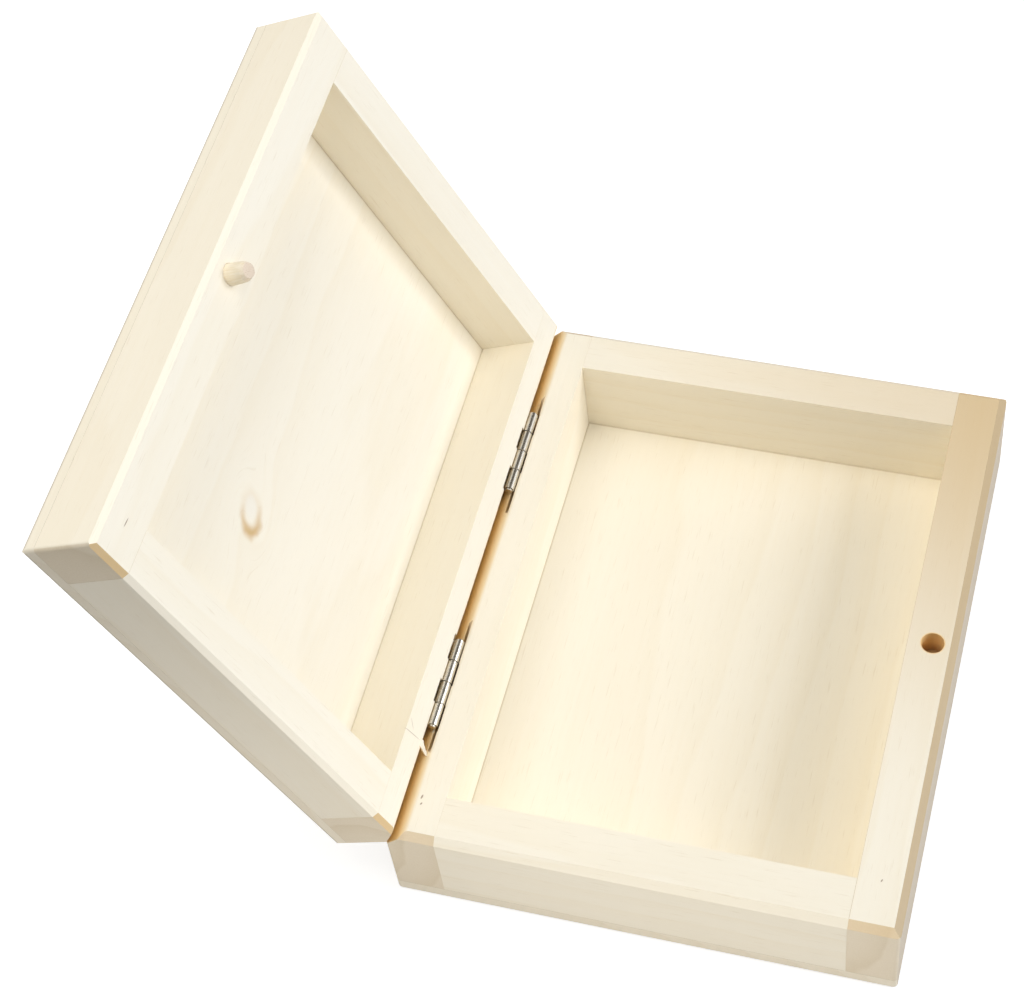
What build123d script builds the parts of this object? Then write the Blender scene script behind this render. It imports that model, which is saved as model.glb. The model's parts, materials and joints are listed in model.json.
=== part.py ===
from build123d import *
import math
import os

# A playing card box of bare wood with a hinged lid, modelled with the lid open at
# the hinge stop. +X runs from the hinge side to the peg side, +Y from the near end
# to the far end, +Z up. The origin is the middle of the underside.

# Frame sizes, mm
inner_width = 76.2           # tray, hinge side to peg side
inner_length = 101.6         # tray, near end to far end
tray_depth = 19.0            # rim of the base down to its floor
lid_hollow_depth = 12.7      # rim of the lid up to its panel
wall = 9.5                   # thickness of all eight frame boards
panel = 3.2                  # thickness of the floor and the top panel

# Edges, mm
base_rim_chamfer = 1.4
lid_rim_chamfer = 0.9
corner_round = 0.8           # upright outer corners of both frames
lid_edge_round = 1.3         # outer edges of the top panel
foot_edge_round = 0.7        # outer edges of the floor panel
joint_ease = 0.04            # sanded arris of each board, the fine line at a joint

# Lid travel
open_angle = 115.0           # degrees from closed to the stop
rim_gap = 0.1                # rims when closed
stop_gap = 0.1               # extra bevel below the line where the walls meet

# Hinge sizes, mm
axis_inset = 2.7             # pin axis in from the outer face
knuckle_radius = 1.0
leaf_thickness = 0.4
pin_clearance = 0.05
pin_head_extra = 0.22        # pin head beyond the pin's own radius
pin_head_length = 0.25
hinge_length = 19.0          # four knuckles
hinge_end_distance = 32.8    # middle of a hinge from the end of the box
knuckle_gap = 0.22
seam = 0.12                  # slit where the rolled sheet meets its leaf
leaf_depth = 4.5             # leaf below the pin axis
barb = 0.1                   # how far a barb stands off the leaf
barb_pitch = 0.9
barb_count = 3

# Hinge seats in the wood, mm
saw_radius = 19.0            # blade that cut the kerfs
kerf_play = 0.05             # beside the barbs
kerf_spare = 0.3             # below the leaf's corners
bevel_width = 3.9            # of the bevel along the rim, from the outer face
bevel_round = 1.6
own_relief = 0.1             # cut away round the knuckles of a board's own leaf
base_relief = 0.3            # in the base, round the knuckles of the lid
lid_relief = 0.9             # in the lid, round the knuckles of the base
relief_end = 0.6             # cut away past each end of the barrel

# Peg sizes, mm
peg_diameter = 4.0
peg_proud = 4.5
peg_buried = 8.0
peg_tip_diameter = 3.5
peg_tip_chamfer = 0.35
peg_glue_gap = 0.03
hole_play = 0.2              # radial, lets the peg swing in on its arc
hole_spare = 1.5             # below the peg's tip

width = inner_width + 2 * wall
length = inner_length + 2 * wall
base_height = tray_depth + panel
lid_height = lid_hollow_depth + panel
lid_rim = base_height + rim_gap
lid_top = lid_rim + lid_height

axis_x = axis_inset - width / 2
axis_z = base_height + rim_gap / 2
hinge_axis = Axis((axis_x, 0, axis_z), (0, 1, 0))
bevel_drop = axis_inset * math.tan(math.radians(open_angle / 2)) + stop_gap

peg_x = (width - wall) / 2
hinge_y = length / 2 - hinge_end_distance
knuckle_pitch = hinge_length / 4
knuckle_length = knuckle_pitch - knuckle_gap
leaf_middle_x = knuckle_radius - leaf_thickness / 2      # from the pin axis
kerf_width = leaf_thickness + 2 * (barb + kerf_play)
base_room = knuckle_radius + base_relief
lid_room = knuckle_radius + lid_relief


def block(x, y, z):
    """A plain block between three pairs of limits."""
    size = [limits[1] - limits[0] for limits in (x, y, z)]
    middle = [sum(limits) / 2 for limits in (x, y, z)]
    return Pos(*middle) * Box(*size)


def board(x, y, z):
    """A sawn board with its arrises sanded off."""
    plain = block(x, y, z)
    return chamfer(plain.edges(), joint_ease)


def bar_along_y(points, y_from, y_to):
    """A bar whose section is given as (x, z) points."""
    face = Plane.XZ * make_face(Polyline(*points, close=True))
    return Pos(0, y_to, 0) * extrude(face, y_to - y_from)


def rod_along_y(x, z, radius, y_from, y_to):
    """A round rod along the box."""
    rod = Cylinder(radius, y_to - y_from, align=(Align.CENTER, Align.CENTER, Align.MIN))
    return Pos(x, y_from, z) * Rot(-90, 0, 0) * rod


def nearest_edge(solid, x, z):
    """The edge along the box that passes closest to a point of its section."""
    along = solid.edges().filter_by(Axis.Y)
    return min(along, key=lambda edge: math.hypot(edge.center().X - x, edge.center().Z - z))


def hinge_bevel(rim_z, side):
    """Wedge off the outer hinge edge; side is -1 below the rim and 1 above it."""
    outer = -width / 2
    edge_z = axis_z + side * bevel_drop
    wedge = [
        (outer - 1, rim_z - side),
        (outer + bevel_width, rim_z - side),
        (outer + bevel_width, rim_z),
        (outer, edge_z),
        (outer - 1, edge_z),
    ]
    return bar_along_y(wedge, -length, length)


def outer_block(z):
    """The frame's outer size between two heights, corners sharp."""
    return block((-width / 2, width / 2), (-length / 2, length / 2), z)


def base_envelope():
    """Outer form shared by the boards of the base."""
    z = (0, base_height)
    body = fillet(outer_block(z).edges().filter_by(Axis.Z), corner_round)
    body = fillet(body.faces().sort_by(Axis.Z)[0].outer_wire().edges(), foot_edge_round)
    rim = outer_block(z)
    rim = chamfer(rim.faces().sort_by(Axis.Z)[-1].edges(), base_rim_chamfer)
    rim -= hinge_bevel(base_height, -1)
    edge = nearest_edge(rim, -width / 2 + bevel_width, base_height)
    return body & fillet(edge, bevel_round)


def lid_envelope():
    """Outer form shared by the boards of the lid, closed."""
    z = (lid_rim, lid_top)
    body = fillet(outer_block(z).edges().filter_by(Axis.Z), corner_round)
    top = outer_block(z)
    top = fillet(top.faces().sort_by(Axis.Z)[-1].edges(), lid_edge_round)
    rim = outer_block(z)
    rim = chamfer(rim.faces().sort_by(Axis.Z)[0].edges(), lid_rim_chamfer)
    rim -= hinge_bevel(lid_rim, 1)
    edge = nearest_edge(rim, -width / 2 + bevel_width, lid_rim)
    return body & top & fillet(edge, bevel_round)


def frame_boards(prefix, envelope, z):
    """Two long boards that run the full length, and two short ones between them."""
    outer_x, inner_x = width / 2, inner_width / 2
    outer_y, inner_y = length / 2, inner_length / 2
    full = (-outer_y, outer_y)
    between = (-inner_x, inner_x)
    return {
        prefix + "_hinge_side_wall": board((-outer_x, -inner_x), full, z) & envelope,
        prefix + "_peg_side_wall": board((inner_x, outer_x), full, z) & envelope,
        prefix + "_near_wall": board(between, (-outer_y, -inner_y), z) & envelope,
        prefix + "_far_wall": board(between, (inner_y, outer_y), z) & envelope,
    }


def panel_board(envelope, z):
    """A thin sheet over the whole frame, edges flush with it."""
    return board((-width / 2, width / 2), (-length / 2, length / 2), z) & envelope


def knuckle_room(index):
    """Limits from the hinge's middle of the room that one of its four knuckles turns in."""
    low = index * knuckle_pitch - (hinge_length + knuckle_gap) / 2
    high = low + knuckle_pitch + knuckle_gap
    if index == 0:
        low -= relief_end
    if index == 3:
        high += relief_end
    return low, high


def hinge_seats(side):
    """Wood removed for both hinges; side is -1 in the base and 1 in the lid."""
    corner = math.sqrt(saw_radius**2 - (hinge_length / 2) ** 2)
    saw_z = axis_z - side * (corner - leaf_depth - kerf_spare)
    saw = Rot(0, 90, 0) * Cylinder(saw_radius, kerf_width)
    seats = [Pos(axis_x + leaf_middle_x, -hinge_y, saw_z) * saw]
    reach = hinge_length / 2 + relief_end
    rods = [(knuckle_radius + own_relief, -reach, reach)]
    for index in (0, 2) if side < 0 else (1, 3):
        rods.append((base_room if side < 0 else lid_room, *knuckle_room(index)))
    for radius, low, high in rods:
        seats.append(rod_along_y(axis_x, axis_z, radius, low - hinge_y, high - hinge_y))
    return seats + [mirror(seat, Plane.XZ) for seat in seats]


def leaf_section():
    """Section of the buried leaf: flat sheet with barbs on both faces, (x, z) from the pin."""
    inner = knuckle_radius - leaf_thickness
    outer = knuckle_radius
    toe = -leaf_depth + leaf_thickness
    right = [(outer, 0)]
    left = [(inner, 0)]
    for row in range(barb_count):
        tip = toe + (barb_count - row) * barb_pitch
        right += [(outer, tip), (outer + barb, tip), (outer, tip - barb_pitch / 2)]
        left += [(inner, tip), (inner - barb, tip), (inner, tip - barb_pitch / 2)]
    foot = [(outer, toe), (outer - leaf_thickness / 4, -leaf_depth)]
    foot += [(inner + leaf_thickness / 4, -leaf_depth), (inner, toe)]
    return right + foot + left[::-1]


def knuckle(y_from):
    """One rolled knuckle along the pin axis, slit where the sheet closes on its leaf."""
    y_to = y_from + knuckle_length
    bore = knuckle_radius - leaf_thickness
    tube = rod_along_y(0, 0, knuckle_radius, y_from, y_to)
    tube -= rod_along_y(0, 0, bore, y_from - 1, y_to + 1)
    slit = block((bore - seam, bore), (y_from - 1, y_to + 1), (-knuckle_radius, -bore / 4))
    return tube - slit


def leaf(room):
    """The leaf in the base of the near hinge, pin axis at the origin, cut to the other's room."""
    half = hinge_length / 2
    plate = bar_along_y(leaf_section(), -half, half)
    for index in (0, 2):
        plate -= rod_along_y(0, 0, room, *knuckle_room(index))
    for index in (1, 3):
        plate += knuckle(index * knuckle_pitch - half + knuckle_gap / 2)
    plate -= rod_along_y(0, 0, knuckle_radius - leaf_thickness, -half - 1, half + 1)
    return plate


def hinge_pin():
    """Pin with both ends peened over."""
    radius = knuckle_radius - leaf_thickness - pin_clearance
    head = radius + pin_head_extra
    half = hinge_length / 2
    pin = rod_along_y(0, 0, radius, -half - pin_head_length, half + pin_head_length)
    for low in (-half - pin_head_length, half):
        button = rod_along_y(0, 0, head, low, low + pin_head_length)
        outer = button.faces().sort_by(Axis.Y)[0 if low < 0 else -1]
        pin += chamfer(outer.edges(), pin_head_length / 2)
    return pin


def near_hinge():
    """The three pieces of the near hinge at the closed pose; the far one is its mirror image."""
    place = Pos(axis_x, -hinge_y, axis_z)
    lower = leaf(base_room)
    upper = Rot(180, 0, 0) * leaf(lid_room)
    return {
        "hinge_base_leaf": place * lower,
        "hinge_lid_leaf": place * upper,
        "hinge_pin": place * hinge_pin(),
    }


def closing_peg():
    """Dowel in the lid's rim, closed pose, with a short taper and a cut tip."""
    straight = Cylinder(peg_diameter / 2, peg_buried, align=(Align.CENTER, Align.CENTER, Align.MIN))
    taper = Cone(
        peg_tip_diameter / 2,
        peg_diameter / 2,
        peg_proud,
        align=(Align.CENTER, Align.CENTER, Align.MAX),
    )
    tip = chamfer(taper.faces().sort_by(Axis.Z)[0].edges(), peg_tip_chamfer)
    return Pos(peg_x, 0, lid_rim) * (straight + tip)


def drilled(radius, z_from, z_to):
    """A straight hole on the peg's line."""
    drill = Cylinder(radius, z_to - z_from, align=(Align.CENTER, Align.CENTER, Align.MIN))
    return Pos(peg_x, 0, z_from) * drill


def base_pieces():
    """The fixed half: frame, floor and what is cut into it."""
    envelope = base_envelope()
    pieces = frame_boards("base", envelope, (panel, base_height))
    pieces["base_bottom_panel"] = panel_board(envelope, (0, panel))
    for seat in hinge_seats(-1):
        pieces["base_hinge_side_wall"] -= seat
    hole_floor = lid_rim - peg_proud - hole_spare
    hole = drilled(peg_diameter / 2 + hole_play, hole_floor, base_height + 1)
    pieces["base_peg_side_wall"] -= hole
    return pieces


def lid_pieces():
    """The moving half, closed."""
    envelope = lid_envelope()
    panel_z = lid_rim + lid_hollow_depth
    pieces = frame_boards("lid", envelope, (lid_rim, panel_z))
    pieces["lid_top_panel"] = panel_board(envelope, (panel_z, lid_top))
    for seat in hinge_seats(1):
        pieces["lid_hinge_side_wall"] -= seat
    socket = drilled(peg_diameter / 2 + peg_glue_gap, lid_rim - 1, lid_rim + peg_buried + peg_glue_gap)
    pieces["lid_peg_side_wall"] -= socket
    pieces["closing_peg"] = closing_peg()
    return pieces


def opened(piece):
    """Swing a piece of the lid from closed to the stop."""
    return piece.rotate(hinge_axis, -open_angle)


def all_pieces():
    """Every piece under its name, with the lid open."""
    pieces = base_pieces()
    moving = lid_pieces()
    for name, piece in near_hinge().items():
        half = moving if "lid" in name else pieces
        half["near_" + name] = piece
        half["far_" + name] = mirror(piece, Plane.XZ)
    for name, piece in moving.items():
        pieces[name] = opened(piece)
    return pieces


os.makedirs("parts", exist_ok=True)
for name, piece in all_pieces().items():
    export_step(piece, f"parts/{name}.step")
    print(name, "volume", round(piece.volume, 2))
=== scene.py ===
import json
import math

import bmesh
import bpy
from mathutils import Matrix, Vector, noise


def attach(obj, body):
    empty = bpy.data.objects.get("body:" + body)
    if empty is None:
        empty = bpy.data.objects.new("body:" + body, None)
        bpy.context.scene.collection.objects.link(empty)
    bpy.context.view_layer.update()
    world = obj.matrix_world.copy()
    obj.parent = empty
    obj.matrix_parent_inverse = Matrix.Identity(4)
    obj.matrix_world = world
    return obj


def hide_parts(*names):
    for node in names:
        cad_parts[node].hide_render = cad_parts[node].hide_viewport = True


# Small hinged box of bare pale wood, open on a white table.
# +X runs from the hinge side to the peg side, +Y away from the camera, +Z up. Metres.

mm = 0.001
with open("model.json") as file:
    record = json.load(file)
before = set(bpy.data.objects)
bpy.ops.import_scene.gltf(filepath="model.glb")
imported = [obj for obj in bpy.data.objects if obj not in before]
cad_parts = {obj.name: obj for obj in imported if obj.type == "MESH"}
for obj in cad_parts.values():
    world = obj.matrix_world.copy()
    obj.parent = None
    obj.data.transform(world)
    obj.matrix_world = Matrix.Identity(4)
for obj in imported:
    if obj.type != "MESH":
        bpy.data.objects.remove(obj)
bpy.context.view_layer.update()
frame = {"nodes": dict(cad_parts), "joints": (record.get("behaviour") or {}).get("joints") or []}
nodes = frame["nodes"]
lidJoint = frame["joints"][0]
hingeAxis = Vector(lidJoint["pos_m"])
openAngle = math.radians(lidJoint["range_deg"][1])
aboutHinge = Matrix.Translation(hingeAxis)
toClosed = aboutHinge @ Matrix.Rotation(openAngle, 4, "Y") @ aboutHinge.inverted()
toOpen = toClosed.inverted()
print("frame loaded:", len(nodes), "nodes")


def colour(hexText):
    # sRGB hex as a maker picks it, turned linear for the shader
    parts = [int(hexText[i:i + 2], 16) / 255 for i in (1, 3, 5)]
    return [p / 12.92 if p <= 0.04045 else ((p + 0.055) / 1.055) ** 2.4 for p in parts] + [1.0]


def addNode(tree, kind, links=None, **settings):
    # one node with its settings; links holds a value, a node or a socket for each input
    node = tree.nodes.new(kind)
    for name, value in settings.items():
        setattr(node, name, value)
    for socket, value in (links or {}).items():
        if isinstance(value, bpy.types.Node):
            value = next(out for out in value.outputs if out.enabled)
        if isinstance(value, bpy.types.NodeSocket):
            tree.links.new(value, node.inputs[socket])
        else:
            node.inputs[socket].default_value = value
    return node


def newMaterial(name):
    material = bpy.data.materials.new(name)
    material.use_nodes = True
    material.node_tree.nodes.clear()
    return material, material.node_tree


# Camera, measured from the corners of the box in the photo

cameraLook = {
    "place": (0.06746, -0.24907, 0.42821),
    "turn": (34.876, 4.447, 14.525),        # degrees
    "lens": 88.166,
    "sensor": 36.0,
    "shift": (-0.0469, 0.0049),             # the box sits a little off the lens axis
    "clip": (0.01, 20.0),
}
camera = bpy.data.objects.new("camera", bpy.data.cameras.new("camera"))
bpy.context.scene.collection.objects.link(camera)
camera.location = cameraLook["place"]
camera.rotation_euler = [math.radians(a) for a in cameraLook["turn"]]
camera.data.lens = cameraLook["lens"]
camera.data.sensor_width = cameraLook["sensor"]
camera.data.shift_x, camera.data.shift_y = cameraLook["shift"]
camera.data.clip_start, camera.data.clip_end = cameraLook["clip"]
bpy.context.scene.camera = camera
bpy.context.scene.view_settings.view_transform = "Standard"

# Soft lamps all round: the window models the wood, the ceiling lights the rims, the fill reaches
# the back of the lid and the card lifts the near end. Azimuth from +X towards +Y, degrees.

lampLook = {
    "window": {"azimuth": 12.0, "height": 30.0, "distance": 0.9, "sides": (0.5, 0.5),
               "watts": 6.0, "tint": "#F0F5FF"},
    "ceiling": {"azimuth": 193.0, "height": 71.0, "distance": 0.65, "sides": (0.45, 0.45),
                "watts": 2.2, "tint": "#FFFDF8"},
    "fill": {"azimuth": 160.0, "height": 7.0, "distance": 1.2, "sides": (0.8, 0.25),
             "watts": 2.6, "tint": "#FFF8F0"},
    "card": {"azimuth": -88.0, "height": 5.0, "distance": 0.175, "sides": (0.16, 0.04),
             "watts": 0.075, "tint": "#FFFAF2"},
}
for name, look in lampLook.items():
    lamp = bpy.data.lights.new(name, "AREA")
    lamp.shape = "RECTANGLE"
    lamp.size, lamp.size_y = look["sides"]
    lamp.energy = look["watts"]
    lamp.color = colour(look["tint"])[:3]
    lampObject = bpy.data.objects.new(name, lamp)
    bpy.context.scene.collection.objects.link(lampObject)
    azimuth, height = math.radians(look["azimuth"]), math.radians(look["height"])
    away = Vector((math.cos(azimuth) * math.cos(height), math.sin(azimuth) * math.cos(height),
                   math.sin(height)))
    lampObject.location = away * look["distance"]
    lampObject.rotation_euler = away.to_track_quat("Z", "Y").to_euler()
    lampObject.visible_camera = False

# The room is dim on the wood, and plain white where the camera or a reflection looks at it

roomLook = {"ambient": 0.205, "tint": "#F8FAFF"}
world = bpy.data.worlds.new("room")
bpy.context.scene.world = world
world.use_nodes = True
tree = world.node_tree
tree.nodes.clear()
ray = addNode(tree, "ShaderNodeLightPath")
seen = addNode(tree, "ShaderNodeMath", {0: ray.outputs["Is Camera Ray"], 1: ray.outputs["Is Glossy Ray"]},
               operation="MAXIMUM")
seen = addNode(tree, "ShaderNodeMath", {0: seen, 1: ray.outputs["Is Transmission Ray"]},
               operation="MAXIMUM")
dim = addNode(tree, "ShaderNodeBackground", {"Color": colour(roomLook["tint"]),
                                             "Strength": roomLook["ambient"]})
white = addNode(tree, "ShaderNodeBackground", {"Color": (1, 1, 1, 1), "Strength": 1.0})
backdrop = addNode(tree, "ShaderNodeMixShader", {0: seen, 1: dim, 2: white})
addNode(tree, "ShaderNodeOutputWorld", {"Surface": backdrop})

tableLook = {"side": 4.0, "drop": 0.05, "paper": "#C4C4C4", "lift": 0.7}     # side in m, drop in mm
bpy.ops.object.select_all(action="DESELECT")
bpy.ops.mesh.primitive_plane_add(size=tableLook["side"], location=(0, 0, -tableLook["drop"] * mm))
table = bpy.context.object
table.name = "table"
# Uncoated white paper, matt: takes the box's soft shadow, and is lifted to white for the camera only
sweepPaper, tree = newMaterial("uncoated white paper")
ray = addNode(tree, "ShaderNodeLightPath")
paper = addNode(tree, "ShaderNodeBsdfDiffuse", {"Color": colour(tableLook["paper"])})
lift = addNode(tree, "ShaderNodeMath", {0: ray.outputs["Is Camera Ray"], 1: tableLook["lift"]},
               operation="MULTIPLY")
glow = addNode(tree, "ShaderNodeEmission", {"Strength": lift})
both = addNode(tree, "ShaderNodeAddShader", {0: paper, 1: glow})
addNode(tree, "ShaderNodeOutputMaterial", {"Surface": both})
table.data.materials.append(sweepPaper)

flagLook = {"place": (0.10, 0.34, 0.55), "size": (0.55, 0.6), "colour": "#57524A"}
bpy.ops.object.select_all(action="DESELECT")
bpy.ops.mesh.primitive_plane_add(size=1.0, location=flagLook["place"])
flag = bpy.context.object
flag.name = "dark_flag"             # only mirrored in the hinges, where it draws the dark stripe
flag.scale = (*flagLook["size"], 1.0)
flag.rotation_euler = (Vector(flagLook["place"]) - hingeAxis).to_track_quat("Z", "Y").to_euler()
flag.visible_camera = False
flag.visible_diffuse = False
flag.visible_shadow = False
flagFelt, tree = newMaterial("black felt")      # pressed wool: an even dark grey with no shine
glow = addNode(tree, "ShaderNodeEmission", {"Color": colour(flagLook["colour"]), "Strength": 1.0})
addNode(tree, "ShaderNodeOutputMaterial", {"Surface": glow})
flag.data.materials.append(flagFelt)
print("camera and light ready")


# Wood. Every board is cut out of its own log: the rings lie round the pith, so the long faces show
# streaks and the board ends show arcs. Places are in mm in the closed box.

woodLook = {
    "light": "#FBF3E0",         # sapwood
    "line": "#EEDDB8",          # the darker late wood of each year
    "endLight": "#F2E6D0",      # sawn ends drink more light
    "endLine": "#D6C3A0",
    "endEdge": "#DDBB80",       # chamfers across the ends, browned by the sander
    "edge": "#BDA47B",          # painted shade on the peg side's chamfers
    "rightShade": "#A88F72",       # painted shade on the outer faces that look to +X
    "edgeShade": "#A89D88",        # painted shade on the rounded outer edges of the sheets
    "farCornerShade": "#D2B27A",        # painted shade: darker and yellower towards the far right corner, where the light falls off
    "cut": "#F5D698",           # painted warm shade on the hinge bevel and in the kerfs
    "bore": "#F8D08A",          # drilled walls
    # painted shade deeper down in the peg hole
    "boreDeepShade": "#8A5526",
    "deepShade": "#6E4A22",          # painted shade at the bottom of the kerfs
    "cornerShade": "#BDA678",       # painted shade in the inside corner between sheet and frame
    "mark": "#8A6A48",
    "wobble": 1.5,              # years that a ring wanders
    "wander": (0.05, 0.012, 0.05),      # how often it does, per mm
    "cloud": (0.045, 0.02, 0.045),      # broad paler and darker areas, per mm
    "streakWidth": 0.9,         # mm, coarser than the real 0.1 mm fibre so that it shows
    "streakLength": 30.0,
    "fibreWidth": 0.22,
    "fibreLength": 5.0,
    "speckle": 3.2,             # cut fibres on the ends, per mm
    "lineShare": 0.28,          # the most that late wood shows on the long faces
    "poreShare": 0.25,
    "sheetEnd": 0.3,            # how far end grain shows on the thin sheets' edges
    # how strong the painted shade on the faces that look to +X
    "rightShadeShare": 0.5,
    "roughness": (0.54, 0.72),
    "relief": 0.05,             # mm
    "gloss": 1.47,              # IOR of bare wood
}
# late wood through a year: pale at first, darkest just before winter, then a sharp end
ringTones = ((0.0, 0.0), (0.4, 0.15), (0.8, 0.7), (0.92, 1.0), (1.0, 0.05))

# grain: the way it runs; pith: across the grain and up; year: mm; sheet: +1 where the inner face
# looks up, -1 down; cutSide: the same for the hinge bevel; browned, and the painted shade to the far corner:
# how strongly
boards = {
    "base_hinge_side_wall": {"grain": "y", "pith": (-73, 22), "year": 7.0, "seed": 1.0, "cutSide": 1,
                             "browned": 0.3},
    "base_peg_side_wall": {"grain": "y", "pith": (12, 22), "year": 8.0, "seed": 2.0, "bore": True,
                           "browned": 0.45, "rightShade": True, "farCornerShade": 0.8},
    "base_near_wall": {"grain": "x", "pith": (30, -120), "year": 6.0, "seed": 3.0},
    "base_far_wall": {"grain": "x", "pith": (-60, 90), "year": 5.5, "seed": 4.0, "farCornerShade": 0.45},
    "base_bottom_panel": {"grain": "y", "pith": (-30, -60), "year": 5.0, "seed": 5.0, "sheet": 1,
                          "rightShade": True},
    "lid_hinge_side_wall": {"grain": "y", "pith": (-80, 40), "year": 6.5, "seed": 6.0, "cutSide": -1,
                            "lid": True},
    "lid_peg_side_wall": {"grain": "y", "pith": (16, 44), "year": 16.0, "seed": 7.0, "lid": True},
    "lid_near_wall": {"grain": "x", "pith": (100, 64), "year": 6.0, "seed": 8.0, "lid": True},
    "lid_far_wall": {"grain": "x", "pith": (-80, 76), "year": 5.5, "seed": 9.0, "lid": True},
    "lid_top_panel": {"grain": "y", "pith": (-22, 96), "year": 5.5, "seed": 10.0, "lid": True,
                      "sheet": -1, "knot": (6.0, -22.8)},
}


def placeFor(board, grainTurned):
    # turn and shift that bring a point in the open pose back to the closed box, in mm
    closed = toClosed if board.get("lid") else Matrix.Identity(4)
    turn = closed.to_3x3()
    shift = closed.translation / mm
    if grainTurned and board["grain"] == "x":
        quarter = Matrix.Rotation(math.pi / 2, 3, "Z")
        turn, shift = quarter @ turn, quarter @ shift
    if grainTurned:
        shift = shift - Vector((board["pith"][0], 0, board["pith"][1]))
    return turn.to_euler(), shift


def boardPlaces(tree, board):
    # places and facings in the log, for the grain, and in the closed box, for what is worked into it
    where = addNode(tree, "ShaderNodeTexCoord")
    place = {}
    for name, grainTurned in (("log", True), ("box", False)):
        turn, shift = placeFor(board, grainTurned)
        place[name] = addNode(tree, "ShaderNodeMapping", {
            "Vector": where.outputs["Object"], "Rotation": turn, "Location": shift,
            "Scale": (1 / mm,) * 3})
        facing = addNode(tree, "ShaderNodeMapping", {"Vector": where.outputs["Normal"], "Rotation": turn},
                         vector_type="VECTOR")
        place[name + "Facing"] = addNode(tree, "ShaderNodeSeparateXYZ", {0: facing})
    place["boxParts"] = addNode(tree, "ShaderNodeSeparateXYZ", {0: place["box"]})
    return place


knotLook = {
    "long": 4.4, "wide": 3.0, "turn": 60.0,     # mm and degrees
    "rim": "#D2AC6C",               # amber ring round it
    "heart": "#F7F0E2",
    "ragged": 0.36,                 # its outline, in its own radius
    "swerve": 5.5,                  # mm that the grain steps aside
    "swerveFrom": 0.3, "swerveTo": 3.6,
    "rimAt": 0.78, "rimWidth": 0.5,
    "heartAt": 0.22, "heartWidth": 0.7,
}


def swerveRoundKnot(tree, board, place):
    look = knotLook
    knotAt = addNode(tree, "ShaderNodeMapping", {
        "Vector": place["box"], "Location": (*board["knot"], 0),
        "Rotation": (0, 0, math.radians(look["turn"])),
        "Scale": (look["long"], look["wide"], 1e6)}, vector_type="TEXTURE")     # the same all through
    ragged = addNode(tree, "ShaderNodeTexNoise", {"Vector": place["box"], "Scale": 0.4, "Detail": 1.0})
    reach = addNode(tree, "ShaderNodeVectorMath", {0: knotAt}, operation="LENGTH")
    reach = addNode(tree, "ShaderNodeMath", {0: ragged, 1: look["ragged"], 2: reach},
                    operation="MULTIPLY_ADD")
    reach = addNode(tree, "ShaderNodeMath", {0: reach, 1: look["ragged"] / 2}, operation="SUBTRACT")
    place["knot"], place["knotReach"] = knotAt, reach
    swerve = addNode(tree, "ShaderNodeMapRange", {0: reach, 1: look["swerveFrom"], 2: look["swerveTo"],
                                                  3: look["swerve"], 4: 0.0},
                     interpolation_type="SMOOTHSTEP")
    side = addNode(tree, "ShaderNodeSeparateXYZ", {0: knotAt})
    side = addNode(tree, "ShaderNodeMath", {0: side.outputs["Y"], 1: 0.9}, operation="MULTIPLY")
    side = addNode(tree, "ShaderNodeMath", {0: side}, operation="TANH")
    swerve = addNode(tree, "ShaderNodeMath", {0: swerve, 1: side}, operation="MULTIPLY")
    swerve = addNode(tree, "ShaderNodeCombineXYZ", {0: swerve})
    return addNode(tree, "ShaderNodeVectorMath", {0: place["log"], 1: swerve}, operation="ADD")


def yearRings(tree, board, grainAt, seeded):
    look = woodLook
    slow = addNode(tree, "ShaderNodeVectorMath", {0: seeded, 1: look["wander"]}, operation="MULTIPLY")
    wobble = addNode(tree, "ShaderNodeTexNoise", {"Vector": slow, "Scale": 1.0, "Detail": 3.0})
    flat = addNode(tree, "ShaderNodeVectorMath", {0: grainAt, 1: (1, 0, 1)}, operation="MULTIPLY")
    radius = addNode(tree, "ShaderNodeVectorMath", {0: flat}, operation="LENGTH")
    years = addNode(tree, "ShaderNodeMath", {0: radius, 1: 1 / board["year"]}, operation="MULTIPLY")
    years = addNode(tree, "ShaderNodeMath", {0: wobble, 1: look["wobble"], 2: years},
                    operation="MULTIPLY_ADD")
    year = addNode(tree, "ShaderNodeMath", {0: years}, operation="FRACT")
    late = addNode(tree, "ShaderNodeValToRGB", {0: year})
    ramp = late.color_ramp
    for element, (position, value) in zip(ramp.elements, (ringTones[0], ringTones[-1])):
        element.position, element.color = position, (value, value, value, 1)
    for position, value in ringTones[1:-1]:
        ramp.elements.new(position).color = (value, value, value, 1)
    return late


def woodFibres(tree, seeded):
    # long soft streaks, and the fine fibres between them
    look = woodLook
    stretch = (1 / look["streakWidth"], 1 / look["streakLength"], 1 / look["streakWidth"])
    streakAt = addNode(tree, "ShaderNodeVectorMath", {0: seeded, 1: stretch}, operation="MULTIPLY")
    streak = addNode(tree, "ShaderNodeTexNoise", {"Vector": streakAt, "Scale": 1.0, "Detail": 4.0,
                                                  "Roughness": 0.6})
    stretch = (1 / look["fibreWidth"], 1 / look["fibreLength"], 1 / look["fibreWidth"])
    fibreAt = addNode(tree, "ShaderNodeVectorMath", {0: seeded, 1: stretch}, operation="MULTIPLY")
    fibre = addNode(tree, "ShaderNodeTexNoise", {"Vector": fibreAt, "Scale": 1.0, "Detail": 3.0})
    return streak, fibre


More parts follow.
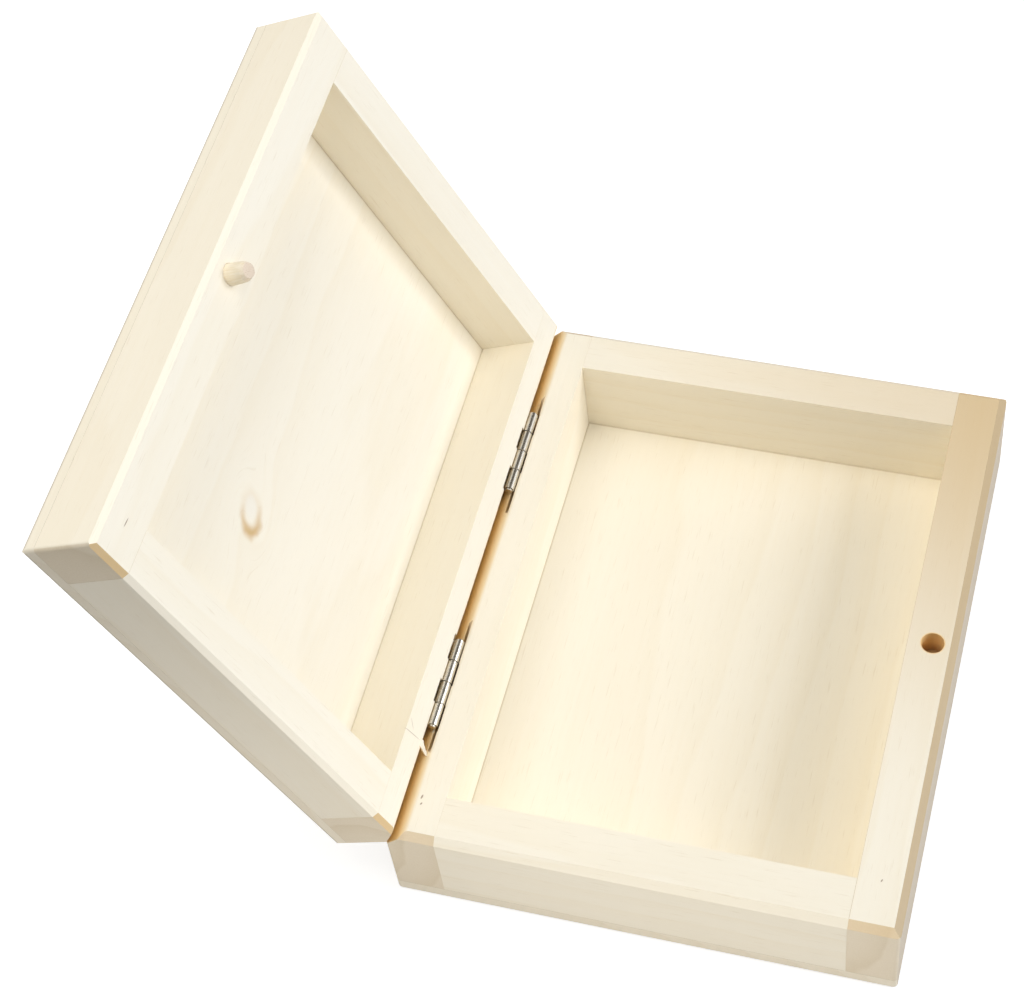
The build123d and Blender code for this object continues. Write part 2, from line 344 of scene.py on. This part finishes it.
def longFaceTone(tree, seeded, late, streak, fibre):
    look = woodLook
    cloudAt = addNode(tree, "ShaderNodeVectorMath", {0: seeded, 1: look["cloud"]}, operation="MULTIPLY")
    cloud = addNode(tree, "ShaderNodeTexNoise", {"Vector": cloudAt, "Scale": 1.0, "Detail": 2.0})
    share = addNode(tree, "ShaderNodeMath", {0: late, 1: 0.30}, operation="MULTIPLY")
    share = addNode(tree, "ShaderNodeMath", {0: streak, 1: 0.34, 2: share}, operation="MULTIPLY_ADD")
    share = addNode(tree, "ShaderNodeMath", {0: cloud, 1: 0.5, 2: share}, operation="MULTIPLY_ADD")
    share = addNode(tree, "ShaderNodeMapRange", {0: share, 1: 0.34, 2: 0.95, 3: 0.0,
                                                 4: look["lineShare"]})
    tone = addNode(tree, "ShaderNodeMix", {0: share, 6: colour(look["light"]), 7: colour(look["line"])},
                   data_type="RGBA")
    pores = addNode(tree, "ShaderNodeMapRange", {0: fibre, 1: 0.62, 2: 0.74, 3: 0.0, 4: 1.0})
    share = addNode(tree, "ShaderNodeMath", {0: pores, 1: look["poreShare"]}, operation="MULTIPLY")
    return addNode(tree, "ShaderNodeMix", {0: share, 6: tone, 7: colour(look["endLine"])},
                   data_type="RGBA")


def endGrainTone(tree, board, place, grainAt, late, tone):
    look = woodLook
    endwise = addNode(tree, "ShaderNodeMath", {0: place["logFacing"].outputs["Y"]}, operation="ABSOLUTE")
    endwise = addNode(tree, "ShaderNodeMapRange", {0: endwise, 1: 0.35, 2: 0.68, 3: 0.0, 4: 1.0},
                      interpolation_type="SMOOTHSTEP")
    endwise = addNode(tree, "ShaderNodeMath", {0: endwise, 1: look["sheetEnd"] if "sheet" in board else 1.0},
                      operation="MULTIPLY")
    speckle = addNode(tree, "ShaderNodeTexNoise", {"Vector": grainAt, "Scale": look["speckle"],
                                                   "Detail": 3.0})
    share = addNode(tree, "ShaderNodeMath", {0: late, 1: 0.28}, operation="MULTIPLY")
    share = addNode(tree, "ShaderNodeMath", {0: speckle, 1: 0.4, 2: share}, operation="MULTIPLY_ADD")
    endTone = addNode(tree, "ShaderNodeMix", {0: share, 6: colour(look["endLight"]),
                                              7: colour(look["endLine"])}, data_type="RGBA")
    return addNode(tree, "ShaderNodeMix", {0: endwise, 6: tone, 7: endTone}, data_type="RGBA")


def knotTone(tree, place, tone):
    # pale heart, amber rim that fades at its far end
    look = knotLook
    rim = addNode(tree, "ShaderNodeMath", {0: place["knotReach"], 1: look["rimAt"]}, operation="SUBTRACT")
    rim = addNode(tree, "ShaderNodeMath", {0: rim}, operation="ABSOLUTE")
    rim = addNode(tree, "ShaderNodeMapRange", {0: rim, 1: look["rimWidth"], 2: 0.0, 3: 0.0, 4: 1.0},
                  interpolation_type="SMOOTHSTEP")
    along = addNode(tree, "ShaderNodeSeparateXYZ", {0: place["knot"]})
    fade = addNode(tree, "ShaderNodeMapRange", {0: along.outputs["X"], 1: -0.9, 2: 0.4, 3: 0.95, 4: 0.14})
    rim = addNode(tree, "ShaderNodeMath", {0: rim, 1: fade}, operation="MULTIPLY")
    tone = addNode(tree, "ShaderNodeMix", {0: rim, 6: tone, 7: colour(look["rim"])}, data_type="RGBA")
    heart = addNode(tree, "ShaderNodeVectorMath", {0: place["knot"], 1: (look["heartAt"], 0, 0)},
                    operation="SUBTRACT")
    heart = addNode(tree, "ShaderNodeVectorMath", {0: heart}, operation="LENGTH")
    heart = addNode(tree, "ShaderNodeMapRange", {0: heart, 1: look["heartWidth"], 2: 0.3, 3: 0.0, 4: 0.6},
                    interpolation_type="SMOOTHSTEP")
    return addNode(tree, "ShaderNodeMix", {0: heart, 6: tone, 7: colour(look["heart"])},
                   data_type="RGBA")


cornerShadeLook = {"inside": (38.1, 50.8), "width": 0.4, "share": 0.45}     # half the frame's opening


def cornerShadeTone(tree, board, place, tone):
    # painted shade: a thin darker line all round the inside corner, on the face that closes the frame
    look = cornerShadeLook
    spot = addNode(tree, "ShaderNodeVectorMath", {0: place["box"]}, operation="ABSOLUTE")
    spot = addNode(tree, "ShaderNodeVectorMath", {0: (*look["inside"], 0), 1: spot}, operation="SUBTRACT")
    spot = addNode(tree, "ShaderNodeSeparateXYZ", {0: spot})
    edge = addNode(tree, "ShaderNodeMath", {0: spot.outputs["X"], 1: spot.outputs["Y"]},
                   operation="MINIMUM")
    edge = addNode(tree, "ShaderNodeMath", {0: edge}, operation="ABSOLUTE")
    share = addNode(tree, "ShaderNodeMapRange", {0: edge, 1: look["width"], 2: look["width"] / 4,
                                                 3: 0.0, 4: look["share"]})
    inward = addNode(tree, "ShaderNodeMath", {0: place["boxFacing"].outputs["Z"], 1: board["sheet"]},
                     operation="MULTIPLY")
    inward = addNode(tree, "ShaderNodeMath", {0: inward, 1: 0.5}, operation="GREATER_THAN")
    share = addNode(tree, "ShaderNodeMath", {0: share, 1: inward}, operation="MULTIPLY")
    return addNode(tree, "ShaderNodeMix", {0: share, 6: tone, 7: colour(woodLook["cornerShade"])},
                   data_type="RGBA")


farCornerShadeLook = {"corner": (52.0, 66.0), "reach": 115.0, "upright": 0.12}   # mm; less on upright faces


def farCornerShadeTone(tree, board, place, tone):
    # painted shade: darker and yellower towards one corner of the rim, where the light falls off
    look = farCornerShadeLook
    spot = addNode(tree, "ShaderNodeVectorMath", {0: place["box"], 1: (*look["corner"], 0)},
                   operation="SUBTRACT")
    spot = addNode(tree, "ShaderNodeVectorMath", {0: spot, 1: (1, 1, 0)}, operation="MULTIPLY")
    spot = addNode(tree, "ShaderNodeVectorMath", {0: spot}, operation="LENGTH")
    share = addNode(tree, "ShaderNodeMapRange", {0: spot, 1: 0.0, 2: look["reach"],
                                                 3: board["farCornerShade"], 4: 0.0},
                    interpolation_type="SMOOTHSTEP")
    upward = addNode(tree, "ShaderNodeMapRange", {0: place["boxFacing"].outputs["Z"], 1: 0.2, 2: 0.9,
                                                  3: look["upright"], 4: 1.0})
    share = addNode(tree, "ShaderNodeMath", {0: share, 1: upward}, operation="MULTIPLY")
    return addNode(tree, "ShaderNodeMix", {0: share, 6: tone, 7: colour(woodLook["farCornerShade"])},
                   data_type="RGBA")


# chamfers are told by the slope of their faces: the product of two parts of the normal
# sheet: how strong the painted shade on the sheets' edges; peg: the same on the peg side's chamfers
chamferLook = {"sheet": 0.55, "peg": 0.9, "end": 0.8, "slope": (0.2, 0.45), "sheetSlope": (0.05, 0.3)}


def edgeTones(tree, board, place, tone):
    # chamfers browned across the ends; painted shade on the peg side's chamfers and outer face, and on the
    # sheets' rounded edges
    look = chamferLook
    facing = place["boxFacing"].outputs
    if board.get("rightShade"):    # painted shade on the faces that look to +X
        outer = addNode(tree, "ShaderNodeMapRange", {0: facing["X"], 1: 0.75, 2: 0.95, 3: 0.0,
                                                     4: woodLook["rightShadeShare"]})
        tone = addNode(tree, "ShaderNodeMix", {0: outer, 6: tone, 7: colour(woodLook["rightShade"])},
                       data_type="RGBA")
    if "sheet" in board:
        # painted shade on the sheets' rounded outer edges
        sides = [("X", "edgeShade", look["sheet"]), ("Y", "edgeShade", look["sheet"])]
    elif board.get("rightShade"):
        # painted shade on the peg side's chamfers
        sides = [("Y", "endEdge", board["browned"]), ("X", "edge", look["peg"])]
    elif board["grain"] == "y":
        sides = [("Y", "endEdge", board.get("browned", look["end"]))]
    else:
        sides = []
    for axis, tint, most in sides:
        slope = addNode(tree, "ShaderNodeMath", {0: facing[axis], 1: facing["Z"]}, operation="MULTIPLY")
        slope = addNode(tree, "ShaderNodeMath", {0: slope}, operation="ABSOLUTE")
        low, high = look["sheetSlope" if "sheet" in board else "slope"]
        share = addNode(tree, "ShaderNodeMapRange", {0: slope, 1: low, 2: high, 3: 0.0, 4: most})
        tone = addNode(tree, "ShaderNodeMix", {0: share, 6: tone, 7: colour(woodLook[tint])},
                       data_type="RGBA")
    return tone


kerfLook = {"line": 44.1, "half": (0.5, 0.3), "share": 0.85, "deepShadeShare": 0.65}    # mm from the middle
bevelLook = {"share": 0.9, "mouth": 0.3, "full": 2.0}       # painted shade in the groove: paler at the mouth, full 2 mm down


def hingeCutTones(tree, board, place, tone):
    # painted shade in the saw kerfs, darkest at the bottom, and painted warm shade on the hinge bevel, by
    # facing and depth
    look = kerfLook
    facing = place["boxFacing"].outputs
    depth = addNode(tree, "ShaderNodeMath", {0: place["boxParts"].outputs["Z"], 1: hingeAxis.z / mm},
                    operation="SUBTRACT")
    depth = addNode(tree, "ShaderNodeMath", {0: depth}, operation="ABSOLUTE")
    kerf = addNode(tree, "ShaderNodeMath", {0: place["boxParts"].outputs["X"], 1: look["line"]},
                   operation="ADD")
    kerf = addNode(tree, "ShaderNodeMath", {0: kerf}, operation="ABSOLUTE")
    share = addNode(tree, "ShaderNodeMapRange", {0: kerf, 1: look["half"][0], 2: look["half"][1],
                                                 3: 0.0, 4: look["share"]})
    wallwise = addNode(tree, "ShaderNodeMath", {0: facing["X"]}, operation="ABSOLUTE")
    wallwise = addNode(tree, "ShaderNodeMapRange", {0: wallwise, 1: 0.9, 2: 0.98, 3: 0.0, 4: 1.0})
    share = addNode(tree, "ShaderNodeMath", {0: share, 1: wallwise}, operation="MULTIPLY")
    deepShade = addNode(tree, "ShaderNodeMapRange", {0: depth, 1: 0.7, 2: 2.8, 3: 0.0, 4: look["deepShadeShare"]})
    kerfShadeTone = addNode(tree, "ShaderNodeMix", {0: deepShade, 6: colour(woodLook["cut"]),
                                               7: colour(woodLook["deepShade"])}, data_type="RGBA")
    tone = addNode(tree, "ShaderNodeMix", {0: share, 6: tone, 7: kerfShadeTone}, data_type="RGBA")

    look = bevelLook
    outwards = addNode(tree, "ShaderNodeMapRange", {0: facing["X"], 1: -0.12, 2: -0.5, 3: 0.0,
                                                    4: look["share"]}, interpolation_type="SMOOTHSTEP")
    upwards = addNode(tree, "ShaderNodeMath", {0: facing["Z"], 1: board["cutSide"]},
                      operation="MULTIPLY")
    upwards = addNode(tree, "ShaderNodeMapRange", {0: upwards, 1: 0.3, 2: 0.55, 3: 0.0, 4: 1.0})
    share = addNode(tree, "ShaderNodeMath", {0: outwards, 1: upwards}, operation="MULTIPLY")
    depth = addNode(tree, "ShaderNodeMapRange", {0: depth, 1: 0.0, 2: look["full"], 3: look["mouth"],
                                                 4: 1.0})
    share = addNode(tree, "ShaderNodeMath", {0: share, 1: depth}, operation="MULTIPLY")
    return addNode(tree, "ShaderNodeMix", {0: share, 6: tone, 7: colour(woodLook["cut"])},
                   data_type="RGBA")


boreLook = {"middle": (42.85, 0, 0), "radius": (2.5, 2.18), "height": (19.2, 16.0), "deepShadeShare": 0.7}


def boreTone(tree, place, tone):
    # inside of the peg hole: drilled wood, with painted shade that darkens it downwards
    look = boreLook
    reach = addNode(tree, "ShaderNodeVectorMath", {0: place["box"], 1: look["middle"]},
                    operation="SUBTRACT")
    reach = addNode(tree, "ShaderNodeVectorMath", {0: reach, 1: (1, 1, 0)}, operation="MULTIPLY")
    reach = addNode(tree, "ShaderNodeVectorMath", {0: reach}, operation="LENGTH")
    share = addNode(tree, "ShaderNodeMapRange", {0: reach, 1: look["radius"][0], 2: look["radius"][1],
                                                 3: 0.0, 4: 0.9})
    deepShade = addNode(tree, "ShaderNodeMapRange", {
        0: place["boxParts"].outputs["Z"], 1: look["height"][0], 2: look["height"][1],
        3: 0.0, 4: look["deepShadeShare"]})
    wallTone = addNode(tree, "ShaderNodeMix", {0: deepShade, 6: colour(woodLook["bore"]),
                                               7: colour(woodLook["boreDeepShade"])}, data_type="RGBA")
    return addNode(tree, "ShaderNodeMix", {0: share, 6: tone, 7: wallTone}, data_type="RGBA")


# Checks, dents and cracks on the rims: middle (x, y), half length, half width, degrees, strength
marks = {
    "lid_peg_side_wall": [((42.75, -52.6), 1.0, 0.12, 94, 0.75)],
    "lid_hinge_side_wall": [((-40.1, -41.4), 2.9, 0.1, -4, 0.45), ((-39.4, -39.8), 1.2, 0.09, 45, 0.4)],
    "base_hinge_side_wall": [((-42.6, -51.6), 0.5, 0.18, 80, 0.75),
                             ((-42.35, -53.0), 0.3, 0.16, 60, 0.75)],
    "base_peg_side_wall": [((42.4, -50.4), 0.35, 0.14, 70, 0.75)],
}
rimHeight, markDepth = 22.25, 0.6       # mm


def markTones(tree, name, place, tone):
    for middle, halfLength, halfWidth, degrees, strength in marks.get(name, []):
        markAt = addNode(tree, "ShaderNodeMapping", {
            "Vector": place["box"], "Location": (*middle, rimHeight),
            "Rotation": (0, 0, math.radians(degrees)),
            "Scale": (halfLength, halfWidth, markDepth)}, vector_type="TEXTURE")
        reach = addNode(tree, "ShaderNodeVectorMath", {0: markAt}, operation="LENGTH")
        share = addNode(tree, "ShaderNodeMapRange", {0: reach, 1: 1.15, 2: 0.6, 3: 0.0, 4: strength})
        tone = addNode(tree, "ShaderNodeMix", {0: share, 6: tone, 7: colour(woodLook["mark"])},
                       data_type="RGBA")
    return tone


def makeWood(name, board):
    # Basswood, sawn, planed and sanded, no finish: matt and pale with faint long streaks, and on the
    # ends rings in tan arcs, a shade darker and drier
    look = woodLook
    material, tree = newMaterial("planed basswood, " + name.replace("_", " "))
    place = boardPlaces(tree, board)
    grainAt = swerveRoundKnot(tree, board, place) if "knot" in board else place["log"]
    seeded = addNode(tree, "ShaderNodeVectorMath", {0: grainAt, 1: (37.0 * board["seed"], 0, 0)},
                     operation="ADD")       # another stretch of the same noise for each board
    late = yearRings(tree, board, grainAt, seeded)
    streak, fibre = woodFibres(tree, seeded)
    tone = longFaceTone(tree, seeded, late, streak, fibre)
    tone = endGrainTone(tree, board, place, grainAt, late, tone)
    if "knot" in board:
        tone = knotTone(tree, place, tone)
    if "sheet" in board:
        tone = cornerShadeTone(tree, board, place, tone)
    if "farCornerShade" in board:
        tone = farCornerShadeTone(tree, board, place, tone)
    tone = edgeTones(tree, board, place, tone)
    if "cutSide" in board:
        tone = hingeCutTones(tree, board, place, tone)
    if board.get("bore"):
        tone = boreTone(tree, place, tone)
    tone = markTones(tree, name, place, tone)
    # the fibre stands up a little
    relief = addNode(tree, "ShaderNodeMath", {0: late, 1: 0.5, 2: streak}, operation="MULTIPLY_ADD")
    relief = addNode(tree, "ShaderNodeMath", {0: fibre, 1: 0.6, 2: relief}, operation="MULTIPLY_ADD")
    bump = addNode(tree, "ShaderNodeBump", {"Height": relief, "Strength": 0.5,
                                            "Distance": look["relief"] * mm})
    rough = addNode(tree, "ShaderNodeMapRange", {0: streak, 1: 0.3, 2: 0.7, 3: look["roughness"][0],
                                                 4: look["roughness"][1]})
    shader = addNode(tree, "ShaderNodeBsdfPrincipled", {"Base Color": tone, "Roughness": rough,
                                                        "Normal": bump, "IOR": look["gloss"]})
    addNode(tree, "ShaderNodeOutputMaterial", {"Surface": shader})
    return material


def dress(node, material):
    # the CAD piece keeps its shape and takes the material
    mesh = nodes[node].data
    mesh.materials.clear()
    mesh.materials.append(material)


woods = {name: makeWood(name, board) for name, board in boards.items()}
for name, wood in woods.items():
    dress(name, wood)
print("wood ready on", len(boards), "boards")


# Hinges

hingeLook = {
    "plate": "#D8D2C6",
    "dull": "#ADA597",          # handled film, in patches
    "film": 600.0,              # patches per metre
    "filmShare": 0.7,
    "lines": (900, 14000, 900),     # per metre: 0.07 mm apart along the barrel
    "scratch": 0.02,
    "smooth": 0.14, "filmRough": 0.22,
}


def makeNickel(look):
    # Nickel plate over stamped steel sheet, rolled and a little handled: bright grey with a warm cast,
    # fine lines across the roll and a duller film in patches
    material, tree = newMaterial("nickel plated rolled steel")
    where = addNode(tree, "ShaderNodeTexCoord")
    across = addNode(tree, "ShaderNodeVectorMath", {0: where.outputs["Object"], 1: look["lines"]},
                     operation="MULTIPLY")
    lines = addNode(tree, "ShaderNodeTexNoise", {"Vector": across, "Scale": 1.0, "Detail": 2.0})
    film = addNode(tree, "ShaderNodeTexNoise", {"Vector": where.outputs["Object"],
                                                "Scale": look["film"], "Detail": 3.0})
    share = addNode(tree, "ShaderNodeMapRange", {0: film, 1: 0.45, 2: 0.75, 3: 0.0, 4: look["filmShare"]})
    tone = addNode(tree, "ShaderNodeMix", {0: share, 6: colour(look["plate"]), 7: colour(look["dull"])},
                   data_type="RGBA")
    rough = addNode(tree, "ShaderNodeMath", {0: film, 1: look["filmRough"], 2: look["smooth"]},
                    operation="MULTIPLY_ADD")
    bump = addNode(tree, "ShaderNodeBump", {"Height": lines, "Strength": look["scratch"],
                                            "Distance": 0.01 * mm})
    shader = addNode(tree, "ShaderNodeBsdfPrincipled", {"Base Color": tone, "Metallic": 1.0,
                                                        "Roughness": rough, "Normal": bump})
    addNode(tree, "ShaderNodeOutputMaterial", {"Surface": shader})
    return material


nickel = makeNickel(hingeLook)
for name in nodes:
    if "_hinge_" in name and "wall" not in name:
        dress(name, nickel)
print("hinges ready")


# For the pieces modelled one by one

def startPiece(name):
    bpy.context.object.name = name
    bpy.context.object.data.name = name
    bpy.ops.object.mode_set(mode="EDIT")
    return bpy.context.object


def pickFaces(piece, test):
    # selects only the faces that pass the test
    mesh = bmesh.from_edit_mesh(piece.data)
    for part in (*mesh.faces, *mesh.edges, *mesh.verts):
        part.select = False
    for face in mesh.faces:
        if test(face):
            face.select = True
    mesh.select_flush_mode()
    bmesh.update_edit_mesh(piece.data)


noisePitch = 2.7        # per mm, finer than a knife facet


def roughen(piece, most, seed):
    # moves each point aside by the noise at its own place, so that every run gives the same shape
    noise.seed_set(seed)
    mesh = bmesh.from_edit_mesh(piece.data)
    for vert in mesh.verts:
        vert.co += noise.noise_vector(vert.co / mm * noisePitch) * most * mm
    mesh.normal_update()
    bmesh.update_edit_mesh(piece.data)


def settle(piece, matrix, body):
    # leaves edit mode, puts the place into the mesh and fixes the piece to its body
    bpy.ops.mesh.select_all(action="SELECT")
    bpy.ops.mesh.normals_make_consistent(inside=False)
    bpy.ops.object.mode_set(mode="OBJECT")
    piece.matrix_world = matrix
    bpy.ops.object.transform_apply(location=True, rotation=True, scale=True)
    bpy.ops.object.shade_smooth_by_angle(angle=math.radians(35))
    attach(piece, body)


# Closing peg: a cut length of dowel, whittled at the tip

pegLook = {
    "radius": 2.0, "sides": 26,
    "place": (42.85, 0.0, 22.3),        # where it leaves the lid's rim, closed box, mm
    "buried": 1.5,
    # height over the rim, radius share, how far the ring leans aside (mm)
    "rings": ((0.7, 0.99, 0.0), (2.0, 0.96, 0.02), (3.3, 0.92, 0.04), (3.5, 0.88, 0.02), (4.35, 0.66, 0.05)),
    "cutTilt": 7.0,                     # degrees off square, from the knife
    "cutSkew": 0.04, "cutBack": 0.12,
    "facets": 0.05, "seed": 11,         # mm that the knife strays
    "cutRim": (0.12, 0.03), "cutDish": (0.45, 0.02),    # inset and rise of the end's edge and middle
}


def makePeg():
    look = pegLook
    bpy.ops.object.select_all(action="DESELECT")
    bpy.ops.mesh.primitive_cylinder_add(vertices=look["sides"], radius=look["radius"] * mm,
                                        depth=look["buried"] * mm, location=(0, 0, 0))
    peg = startPiece("whittled_peg")
    half = look["buried"] * mm / 2
    bpy.ops.transform.translate(value=(0, 0, -half))
    pickFaces(peg, lambda face: face.normal.z > 0.9)
    height, share = 0.0, 1.0
    for top, radiusShare, lean in look["rings"]:
        bpy.ops.mesh.extrude_region_move(
            TRANSFORM_OT_translate={"value": (lean * mm, 0, (top - height) * mm)})
        bpy.ops.transform.resize(value=(radiusShare / share, radiusShare / share, 1))
        height, share = top, radiusShare
    tilt = math.radians(look["cutTilt"])
    bpy.ops.mesh.select_all(action="SELECT")
    bpy.ops.mesh.bisect(plane_co=(0, 0, (height - look["cutBack"]) * mm),
                        plane_no=(math.sin(tilt), look["cutSkew"], math.cos(tilt)),
                        use_fill=True, clear_outer=True)
    bpy.ops.mesh.select_all(action="SELECT")
    roughen(peg, look["facets"], look["seed"])
    pickFaces(peg, lambda face: face.normal.z > 0.9 and face.calc_center_median().z > 2 * mm)
    for inset, rise in (look["cutRim"], look["cutDish"]):
        bpy.ops.mesh.inset(thickness=inset * mm, depth=rise * mm)
    place = toOpen @ Matrix.Translation(Vector(look["place"]) * mm) @ Matrix.Rotation(math.pi, 4, "X")
    settle(peg, place, "lid")
    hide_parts("closing_peg")
    return peg


dowelLook = {
    "side": "#F8EDD6", "fibre": "#E9D8B4", "end": "#E8D6C0", "endLine": "#CDB393",
    "fibres": (3.2, 3.2, 0.3),      # per mm, long along the dowel
    "pores": 3.5,                   # per mm
    "roughness": 0.7, "relief": 0.08, "gloss": 1.47,
}


def makeDowelWood(look):
    # Birch dowel, turned and knife cut, no finish: silky along the side, dry and spotted on the cut end
    material, tree = newMaterial("knife cut birch dowel")
    where = addNode(tree, "ShaderNodeTexCoord")
    turn, shift = placeFor({"lid": True}, False)
    at = addNode(tree, "ShaderNodeMapping", {"Vector": where.outputs["Object"], "Rotation": turn,
                                             "Location": shift, "Scale": (1 / mm,) * 3})
    facing = addNode(tree, "ShaderNodeMapping", {"Vector": where.outputs["Normal"], "Rotation": turn},
                     vector_type="VECTOR")
    along = addNode(tree, "ShaderNodeVectorMath", {0: at, 1: look["fibres"]}, operation="MULTIPLY")
    fibre = addNode(tree, "ShaderNodeTexNoise", {"Vector": along, "Scale": 1.0, "Detail": 3.0})
    share = addNode(tree, "ShaderNodeMapRange", {0: fibre, 1: 0.4, 2: 0.7, 3: 0.0, 4: 0.8})
    tone = addNode(tree, "ShaderNodeMix", {0: share, 6: colour(look["side"]), 7: colour(look["fibre"])},
                   data_type="RGBA")
    pores = addNode(tree, "ShaderNodeTexVoronoi", {"Vector": at, "Scale": look["pores"]})
    share = addNode(tree, "ShaderNodeMapRange", {0: pores, 1: 0.35, 2: 0.1, 3: 0.1, 4: 0.8})
    endTone = addNode(tree, "ShaderNodeMix", {0: share, 6: colour(look["end"]),
                                              7: colour(look["endLine"])}, data_type="RGBA")
    endwise = addNode(tree, "ShaderNodeSeparateXYZ", {0: facing})
    endwise = addNode(tree, "ShaderNodeMath", {0: endwise.outputs["Z"]}, operation="ABSOLUTE")
    endwise = addNode(tree, "ShaderNodeMapRange", {0: endwise, 1: 0.3, 2: 0.6, 3: 0.0, 4: 1.0})
    tone = addNode(tree, "ShaderNodeMix", {0: endwise, 6: tone, 7: endTone}, data_type="RGBA")
    bump = addNode(tree, "ShaderNodeBump", {"Height": fibre, "Strength": 0.6,
                                            "Distance": look["relief"] * mm})
    shader = addNode(tree, "ShaderNodeBsdfPrincipled", {
        "Base Color": tone, "Roughness": look["roughness"], "Normal": bump, "IOR": look["gloss"]})
    addNode(tree, "ShaderNodeOutputMaterial", {"Surface": shader})
    return material


peg = makePeg()
peg.data.materials.append(makeDowelWood(dowelLook))
print("peg ready")


# Torn splinter on the lid's hinge edge

splinterLook = {
    "root": (-43.5, -41.5, 22.36),      # closed box, mm
    "width": 1.7, "thick": 0.3, "stub": 0.5,
    # step along the splinter (out of the edge, along the edge, away from the rim), width share
    "steps": ((-0.7, -0.35, 0.03, 0.8), (-0.8, -0.5, -0.04, 0.55), (-0.6, -0.3, -0.2, 0.38),
              (-0.3, -0.1, -0.28, 0.16)),
    "thinning": 0.6,                    # its thickness falls less than its width
    "rounding": 0.35,
    "ragged": 0.08, "seed": 4,
}


def makeSplinter():
    look = splinterLook
    bpy.ops.object.select_all(action="DESELECT")
    bpy.ops.mesh.primitive_cube_add(size=1.0, location=(0, 0, 0))
    splinter = startPiece("torn_splinter")
    bpy.ops.transform.resize(value=(look["stub"] * mm, look["width"] * mm, look["thick"] * mm))
    pickFaces(splinter, lambda face: face.normal.x < -0.9)
    share = 1.0
    for out, along, away, widthShare in look["steps"]:
        bpy.ops.mesh.extrude_region_move(
            TRANSFORM_OT_translate={"value": (out * mm, along * mm, away * mm)})
        narrower = widthShare / share
        bpy.ops.transform.resize(value=(1, narrower, narrower ** look["thinning"]))
        share = widthShare
    bpy.ops.mesh.select_all(action="SELECT")
    bpy.ops.mesh.subdivide(number_cuts=2, smoothness=0.0)
    bpy.ops.mesh.vertices_smooth(factor=look["rounding"], repeat=2)
    roughen(splinter, look["ragged"], look["seed"])
    place = toOpen @ Matrix.Translation(Vector(look["root"]) * mm)
    settle(splinter, place, "lid")
    return splinter


splinter = makeSplinter()
splinter.data.materials.append(woods["lid_hinge_side_wall"])
print("splinter ready")
